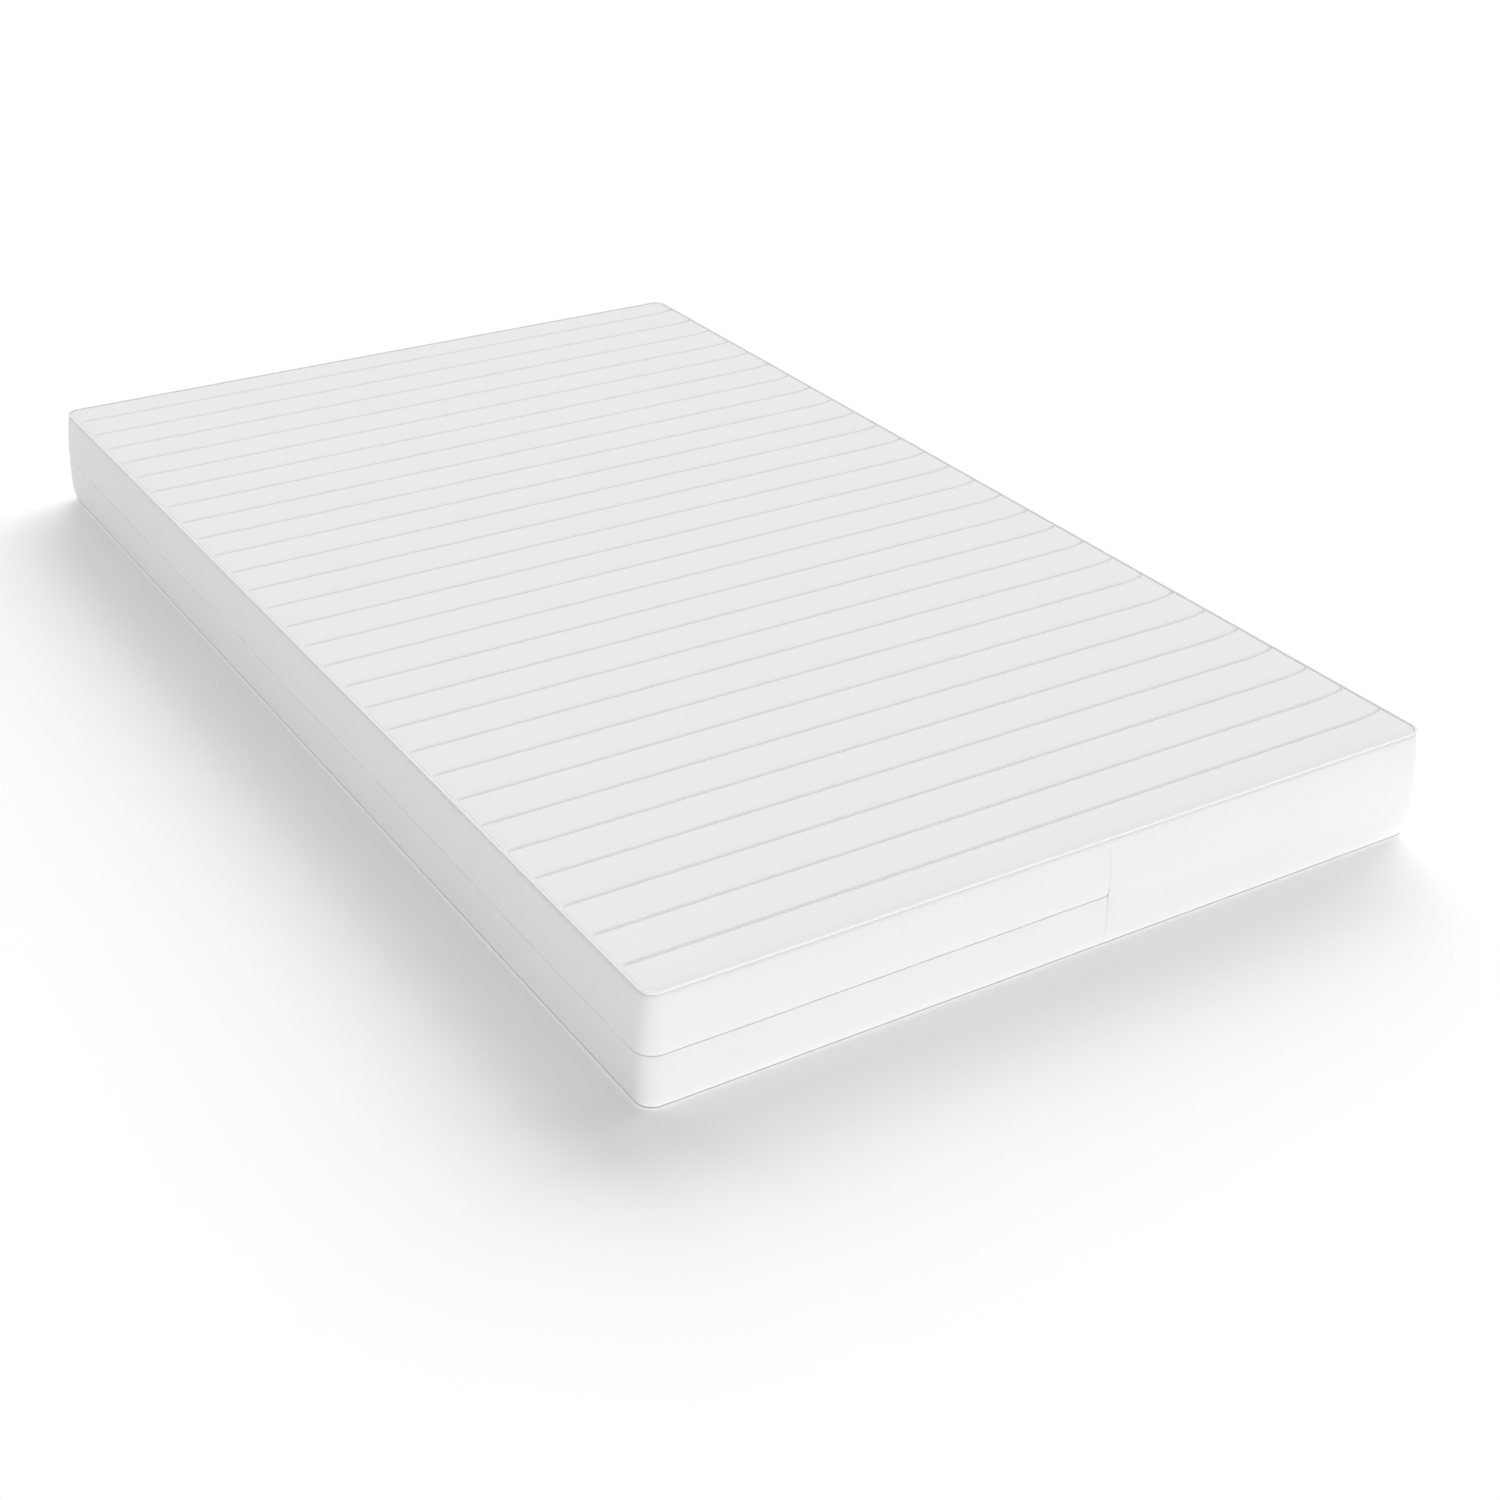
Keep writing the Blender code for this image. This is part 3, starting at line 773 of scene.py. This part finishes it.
def make_borders():
    """The border's three strips of cloth: above the zip, below it, and the plain one."""
    zipped = stations(STITCHED_GAP, REAR_SEAM - STITCHED_GAP)
    plain = stations(REAR_SEAM + STITCHED_GAP, ROUND - STITCHED_GAP)
    start = LIP_GAP + LIP_ROLL
    upper = np.concatenate([lip_rows(zipped, 1), shoulder_rows(zipped, ZIP_Z + start, BORDER_TOP, 26)], 1)
    lower = np.concatenate([lip_rows(zipped, -1), shoulder_rows(zipped, ZIP_Z - start, BORDER_BASE, 24)], 1)
    whole = shoulder_rows(plain, BORDER_BASE, BORDER_TOP, 44)
    for name, s, rows in (
        ("upper_border_cloth", zipped, upper),
        ("lower_border_cloth", zipped, lower[:, ::-1]),
        ("plain_border_cloth", plain, whole),
    ):
        obj = strip(name, s, rows, FABRIC)
        settle(obj, BORDER_KNIT, "cover_fabric", name.replace("cloth", "fabric"))


def make_border_loft():
    """The thin wadding stitched behind each border strip."""
    zipped = stations(SEAM_GAP, REAR_SEAM - SEAM_GAP, 0.02)
    plain = stations(REAR_SEAM + SEAM_GAP, ROUND - SEAM_GAP, 0.02)
    lips = LIP_GAP + LIP_ROLL + 2.5 * FABRIC
    for name, s, low, high in (
        ("upper_border_loft", zipped, ZIP_Z + lips, BORDER_TOP - LOFT_TRIM),
        ("lower_border_loft", zipped, BORDER_BASE + LOFT_TRIM, ZIP_Z - lips),
        ("plain_border_loft", plain, BORDER_BASE + LOFT_TRIM, BORDER_TOP - LOFT_TRIM),
    ):
        outer = offset_rows(shoulder_rows(s, low, high, 14), FABRIC + CLEAR)
        obj = strip(name, s, outer, BORDER_LOFT)
        settle(obj, LOFT, "wadding", name.replace("loft", "wadding"))


def make_piping():
    """The cords in the two edge seams, with the slight ripple of a sewn edge."""
    s = stations(0, ROUND, CORD_STEP)
    ripple = wave(s, (ROUND / 210, 0.00006, 0.0), (ROUND / 97, 0.00005, 1.0))
    inset = SEAM_INSET + TOP_CORD_SET + ripple
    top = rod("top_edge_cord", s, inset, TOP_SEAM_Z + TOP_CORD_SET, PIPING_RADIUS)
    settle(top, PIPING_RIB_AND_HIGHLIGHT, "piping", "top_edge_piping")
    inset = BASE_SEAM_INSET + BASE_CORD_SET + ripple
    base = rod("bottom_edge_cord", s, inset, BASE_SEAM_Z, PIPING_RADIUS)
    settle(base, PIPING_RIB_AND_HIGHLIGHT, "piping", "bottom_edge_piping")


def make_tapes():
    """Zip tapes behind the lips, and the tapes behind the two upright seams.

    A zip tape's profile is (inset, distance from the zip's middle). It steps out behind the border strip.
    """
    profile = [(0.0054, 0.0011), (0.0054, 0.0058), (TAPE_INSET, 0.0100), (TAPE_INSET, 0.0160)]
    for name, border, sign in (
        ("zip_tape_upper", "upper_border_cloth", 1),
        ("zip_tape_lower", "lower_border_cloth", -1),
    ):
        first = SEAM_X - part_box(name)[1].x
        s = stations(first, REAR_SEAM - first, 0.03)
        outer = np.array([[(inset, ZIP_Z + sign * rise) for inset, rise in profile[::sign]]])
        obj = strip(name + "_cloth", s, np.tile(outer, (len(s), 1, 1)), TAPE)
        settle(obj, TAPE_TWILL, "zip_tape", name)
    for name, seam in (("front_join_tape", 0.0), ("rear_join_tape", REAR_SEAM)):
        low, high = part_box(name)
        half = (high.x - low.x) / 2
        s = np.linspace(seam - half, seam + half, 9)
        z = np.tile(np.linspace(low.z, high.z, 12), (len(s), 1))
        outer = np.stack([np.full(z.shape, TAPE_INSET), z], 2)
        obj = strip(name + "_cloth", s, outer, TAPE)
        settle(obj, TAPE_TWILL, "zip_tape", name)


# ---------------------------------------------------------------- quilted cover and core


def top_face(x, y, inset=PANEL_INSET):
    """Height of the sleeping surface, before its filling lifts it."""
    floor = TOP_LEVEL - TOP_DEPTH
    height = floor + quilt_height(x, y, TOP_DEPTH, TOP_CROWN, inset)
    return height - rolled_edge(x, y, inset, TOP_ROLL)


def base_face(x, y, inset=PANEL_INSET):
    """Height of the underside, which is quilted downwards."""
    height = BASE_FLOOR - quilt_height(x, y, BASE_DEPTH, BASE_CROWN, inset)
    return height + rolled_edge(x, y, inset, BASE_ROLL)


def between(at, known, values):
    """Smooth values at new places down the first axis."""
    slope = np.gradient(values, known, axis=0)
    i = np.clip(np.searchsorted(known, at) - 1, 0, len(known) - 2)
    gap = (known[i + 1] - known[i])[:, None]
    t = (at - known[i])[:, None] / gap
    first = (1 + 2 * t) * (1 - t) ** 2 * values[i] + t * (1 - t) ** 2 * gap * slope[i]
    return first + t * t * (3 - 2 * t) * values[i + 1] + t * t * (t - 1) * gap * slope[i + 1]


def inflate(rows, columns):
    """How far the cover's face lifts off its plain shape when its filling presses up between the seams.

    A coarse copy of the face is held at its seams and its edge, and a cloth simulation does the rest.
    """
    coarse_rows = quilt_rows(COARSE, PANEL_INSET)
    coarse_columns = np.linspace(-1, 1, SIM_COLUMNS)
    x, y = grid_xy(coarse_rows, coarse_columns, PANEL_INSET)
    start = np.stack([x, y, top_face(x, y)], 2)
    count, wide = x.shape
    at = np.arange(count * wide).reshape(count, wide)
    corners = (at[:-1, :-1], at[:-1, 1:], at[1:, 1:], at[1:, :-1])
    mesh = bpy.data.meshes.new("trial_face")
    mesh.from_pydata(start.reshape(-1, 3).tolist(), [], np.stack(corners, 2).reshape(-1, 4).tolist())
    obj = add_object("trial_face", mesh)
    held = (seam_distance(x, y) < 1e-4) | (edge_distance(x, y, PANEL_INSET) < HELD_EDGE)
    obj.vertex_groups.new(name="held").add(at[held].tolist(), 1.0, "REPLACE")
    cloth = obj.modifiers.new("Cloth", "CLOTH")
    cloth.collision_settings.use_collision = False
    for key, value in CLOTH_SETTINGS.items():
        setattr(cloth.settings, key, value)
    cloth.settings.effector_weights.gravity = 0
    cloth.point_cache.frame_end = SIM_FRAMES
    for step in range(1, SIM_FRAMES + 1):
        bpy.context.scene.frame_set(step)
    done = obj.evaluated_get(bpy.context.evaluated_depsgraph_get()).data
    moved = np.empty(count * wide * 3, np.float32)
    done.vertices.foreach_get("co", moved)
    lift = moved.reshape(count, wide, 3)[..., 2] - start[..., 2]
    bpy.data.objects.remove(obj)
    bpy.data.meshes.remove(mesh)
    bpy.context.scene.frame_set(1)
    inside = np.clip(edge_distance(x, y, PANEL_INSET) / LIFT_FADE, 0, 1)
    lift = np.clip(lift, -LIFT_DOWN, LIFT_UP) * smooth(inside)
    return between(rows, coarse_rows, between(columns, coarse_columns, lift.T).T)


def make_scrim(name, node):
    """The flat web that backs a quilted panel."""
    low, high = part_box(node)
    rows = quilt_rows(PLAIN, BACKING_INSET)
    columns = column_shares(40)
    shape = (len(rows), len(columns))
    obj = panel(name, rows, columns, np.full(shape, high.z), np.full(shape, low.z), BACKING_INSET, thin=2)
    settle(obj, SCRIM_WEB, "scrim", node)


def make_top_panel():
    """The inflated face fabric, the wadding between it and its scrim, and the scrim."""
    rows = quilt_rows(FINE, PANEL_INSET)
    columns = column_shares(150)
    x, y = grid_xy(rows, columns, PANEL_INSET)
    face = top_face(x, y) + inflate(rows, columns)
    obj = panel("top_quilted_cloth", rows, columns, face, face - FABRIC, PANEL_INSET, thin=8)
    settle(obj, COVER_KNIT, "cover_fabric", "top_face_fabric")

    rows = quilt_rows(MEDIUM, BACKING_INSET)
    columns = column_shares(60)
    x, y = grid_xy(rows, columns, BACKING_INSET)
    under = top_face(x, y, BACKING_INSET) - FABRIC - CLEAR
    base = np.full(x.shape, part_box("top_backing_scrim")[1].z + CLEAR)
    upper = np.maximum(under, base + LEAST_LOFT)
    obj = panel("top_loft", rows, columns, upper, base, BACKING_INSET, thin=4)
    settle(obj, LOFT, "wadding", "top_wadding")

    make_scrim("top_scrim_web", "top_backing_scrim")


def make_base_panel():
    """The same three layers on the underside, which no photo shows, with a coarser mesh."""
    rows = quilt_rows(MEDIUM, BASE_PANEL_INSET)
    columns = column_shares(60)
    x, y = grid_xy(rows, columns, BASE_PANEL_INSET)
    face = base_face(x, y, BASE_PANEL_INSET)
    obj = panel("bottom_quilted_cloth", rows, columns, face + FABRIC, face, BASE_PANEL_INSET)
    settle(obj, COVER_KNIT, "cover_fabric", "bottom_face_fabric")

    rows = quilt_rows(MEDIUM, BACKING_INSET)
    x, y = grid_xy(rows, columns, BACKING_INSET)
    over = base_face(x, y, BACKING_INSET) + FABRIC + CLEAR
    top = np.full(x.shape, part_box("bottom_backing_scrim")[0].z - CLEAR)
    obj = panel("bottom_loft", rows, columns, top, np.minimum(over, top - LEAST_LOFT), BACKING_INSET)
    settle(obj, LOFT, "wadding", "bottom_wadding")

    make_scrim("bottom_scrim_web", "bottom_backing_scrim")


def make_thread(name, height, side):
    """Lock stitches along the quilting seams: a short raised loop of thread every few millimetres.

    height is the function of the cloth's face. side is 1 where the face looks up, and -1 on the underside.
    """
    bm = bmesh.new()
    cloth = bm.loops.layers.uv.new("cloth")
    angle = np.linspace(0, 2 * math.pi, THREAD_SIDES, endpoint=False)
    span = HALF_WIDTH - PANEL_INSET - THREAD_INSET
    along = np.array([0, 0.3, 0.7, 1]) * STITCH_LENGTH
    rise = side * np.array([-0.2, 1, 1, -0.2]) * THREAD_RADIUS
    across = THREAD_RADIUS * np.stack([0 * angle, np.cos(angle), np.sin(angle)], 1)
    for row in SEAM_ROWS:
        for start in np.arange(-span, span, STITCH_PITCH):
            x = start + along
            y = row + hook(x, row)
            points = np.stack([x, y, height(x, y) + rise], 1)
            first, last = (bm.verts.new(points[i]) for i in (0, 3))
            near, far = ([bm.verts.new(p) for p in points[i] + across] for i in (1, 2))
            for j in range(THREAD_SIDES):
                k = (j + 1) % THREAD_SIDES
                bm.faces.new((first, near[k], near[j]))
                bm.faces.new((near[j], near[k], far[k], far[j]))
                bm.faces.new((last, far[j], far[k]))
    for face in bm.faces:
        for loop in face.loops:
            loop[cloth].uv = (loop.vert.co.x, loop.vert.co.z + loop.vert.co.y)
    obj = add_mesh(name, bm)
    obj.data.shade_smooth()
    settle(obj, THREAD, "cover_fabric")


def make_core():
    """The two foam layers, and the sock that holds them together."""
    for name, node, look, slot in (
        ("support_foam_block", "support_foam_core", SUPPORT, "support_foam"),
        ("memory_foam_block", "memory_foam_layer", VISCO, "memory_foam"),
    ):
        low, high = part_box(node)
        obj = block(name, HALF_WIDTH - high.x, low.z, high.z, FOAM_EDGE)
        settle(obj, look, slot, node)
    low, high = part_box("inner_sock")
    obj = block("sock_bag", HALF_WIDTH - high.x, low.z, high.z, SOCK_EDGE, wall=SOCK_CLOTH)
    settle(obj, SOCK_KNIT, "sock_fabric", "inner_sock")


def dress_zip():
    """The hard zip parts keep their CAD shapes and get finishes. Slider and tab get softened edges too."""
    for name, look, slot in (
        ("zip_slider", ENAMEL, "zip_metal"),
        ("zip_pull_tab", ENAMEL, "zip_metal"),
        ("zip_top_stop_upper", NICKEL, "stop_metal"),
        ("zip_top_stop_lower", NICKEL, "stop_metal"),
        ("zip_bottom_stop", NICKEL, "stop_metal"),
        ("zip_coil_upper", COIL, "zip_coil"),
        ("zip_coil_lower", COIL, "zip_coil"),
    ):
        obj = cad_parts[name]
        obj.data.materials.clear()
        obj.data.materials.append(look)
        if look is ENAMEL:
            edge = obj.modifiers.new("Edges", "BEVEL")
            edge.width = 0.0002
            edge.segments = 2
            edge.limit_method = "ANGLE"


# ---------------------------------------------------------------- stage, light and camera


def make_stage():
    """A white floor, a hair below the mattress."""
    bm = bmesh.new()
    bmesh.ops.create_grid(bm, x_segments=1, y_segments=1, size=FLOOR_SIZE)
    floor = add_mesh("floor", bm)
    floor.location.z = FLOOR_Z
    look = Look("floor_white", 0.95)
    look.shader.inputs["Base Color"].default_value = (1.0, 1.0, 1.0, 1)
    look.shader.inputs["Specular IOR Level"].default_value = 0.0
    floor.data.materials.append(look.mat)
    floor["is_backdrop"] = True


def add_sun(name, toward, strength, spread, lit, shading=None):
    """A soft light that comes from toward and falls on the collection lit only.

    Its strength is the shade that it gives a white face square to it. Only the collection shading, when
    given, casts its shadows.
    """
    light = bpy.data.lights.new(name, "SUN")
    light.energy = strength * math.pi
    light.angle = math.radians(spread)
    obj = add_object(name, light)
    x, y, z = toward
    tilt = math.acos(z / math.hypot(x, y, z))
    obj.rotation_euler = (tilt, 0, math.atan2(y, x) + math.pi / 2)
    obj.light_linking.receiver_collection = lit
    if shading is not None:
        obj.light_linking.blocker_collection = shading


def make_world():
    """An even white surround, which is dimmer as a light than as the backdrop that the camera sees."""
    world = bpy.data.worlds.new("studio")
    world.use_nodes = True
    nodes, links = world.node_tree.nodes, world.node_tree.links
    light = nodes["Background"]
    backdrop = nodes.new("ShaderNodeBackground")
    for shader in (light, backdrop):
        shader.inputs["Color"].default_value = (1, 1, 1, 1)
    light.inputs["Strength"].default_value = WORLD_STRENGTH
    seen = nodes.new("ShaderNodeLightPath")
    either = nodes.new("ShaderNodeMixShader")
    links.new(seen.outputs["Is Camera Ray"], either.inputs[0])
    links.new(light.outputs[0], either.inputs[1])
    links.new(backdrop.outputs[0], either.inputs[2])
    links.new(either.outputs[0], nodes["World Output"].inputs["Surface"])
    bpy.context.scene.world = world


def make_light():
    """Soft lights kept apart: three shape the shadow on the floor, and three shade the object."""
    on_object = bpy.data.collections.new("lit_object")
    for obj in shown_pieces():
        on_object.objects.link(obj)
    on_floor = bpy.data.collections.new("lit_floor")
    on_floor.objects.link(bpy.data.objects["floor"])
    add_sun("floor_light", (0.72, 0.66, 0.45), 0.76, 60, on_floor)
    add_sun("floor_light_right", (0.95, 0.15, 0.48), 0.25, 60, on_floor)
    add_sun("floor_light_rear", (0.15, 0.95, 0.45), 0.23, 60, on_floor)
    add_sun("top_light", (0.1, 0.12, 1.0), 0.63, 60, on_object, on_object)
    add_sun("front_fill", (0.25, -1.0, -0.8), 0.60, 30, on_object, on_object)
    add_sun("left_fill", (-1.0, -0.1, -1.1), 0.24, 30, on_object, on_object)


def make_camera():
    """The photo's viewpoint: high over the front left corner."""
    data = bpy.data.cameras.new("camera")
    data.lens = 55.67
    data.sensor_width = 36
    data.shift_x = 0.04
    obj = add_object("camera", data)
    obj.location = (-1.6359, -2.7762, 1.6452)
    obj.rotation_euler = tuple(math.radians(angle) for angle in (60.317, -0.647, -31.169))
    bpy.context.scene.camera = obj


make_borders()
make_border_loft()
make_piping()
make_tapes()
make_top_panel()
make_base_panel()
make_thread("top_quilting_thread", top_face, 1)
make_thread("bottom_quilting_thread", base_face, -1)
make_core()
dress_zip()
make_stage()
make_world()
make_light()
make_camera()
bpy.context.scene.view_settings.view_transform = "Standard"
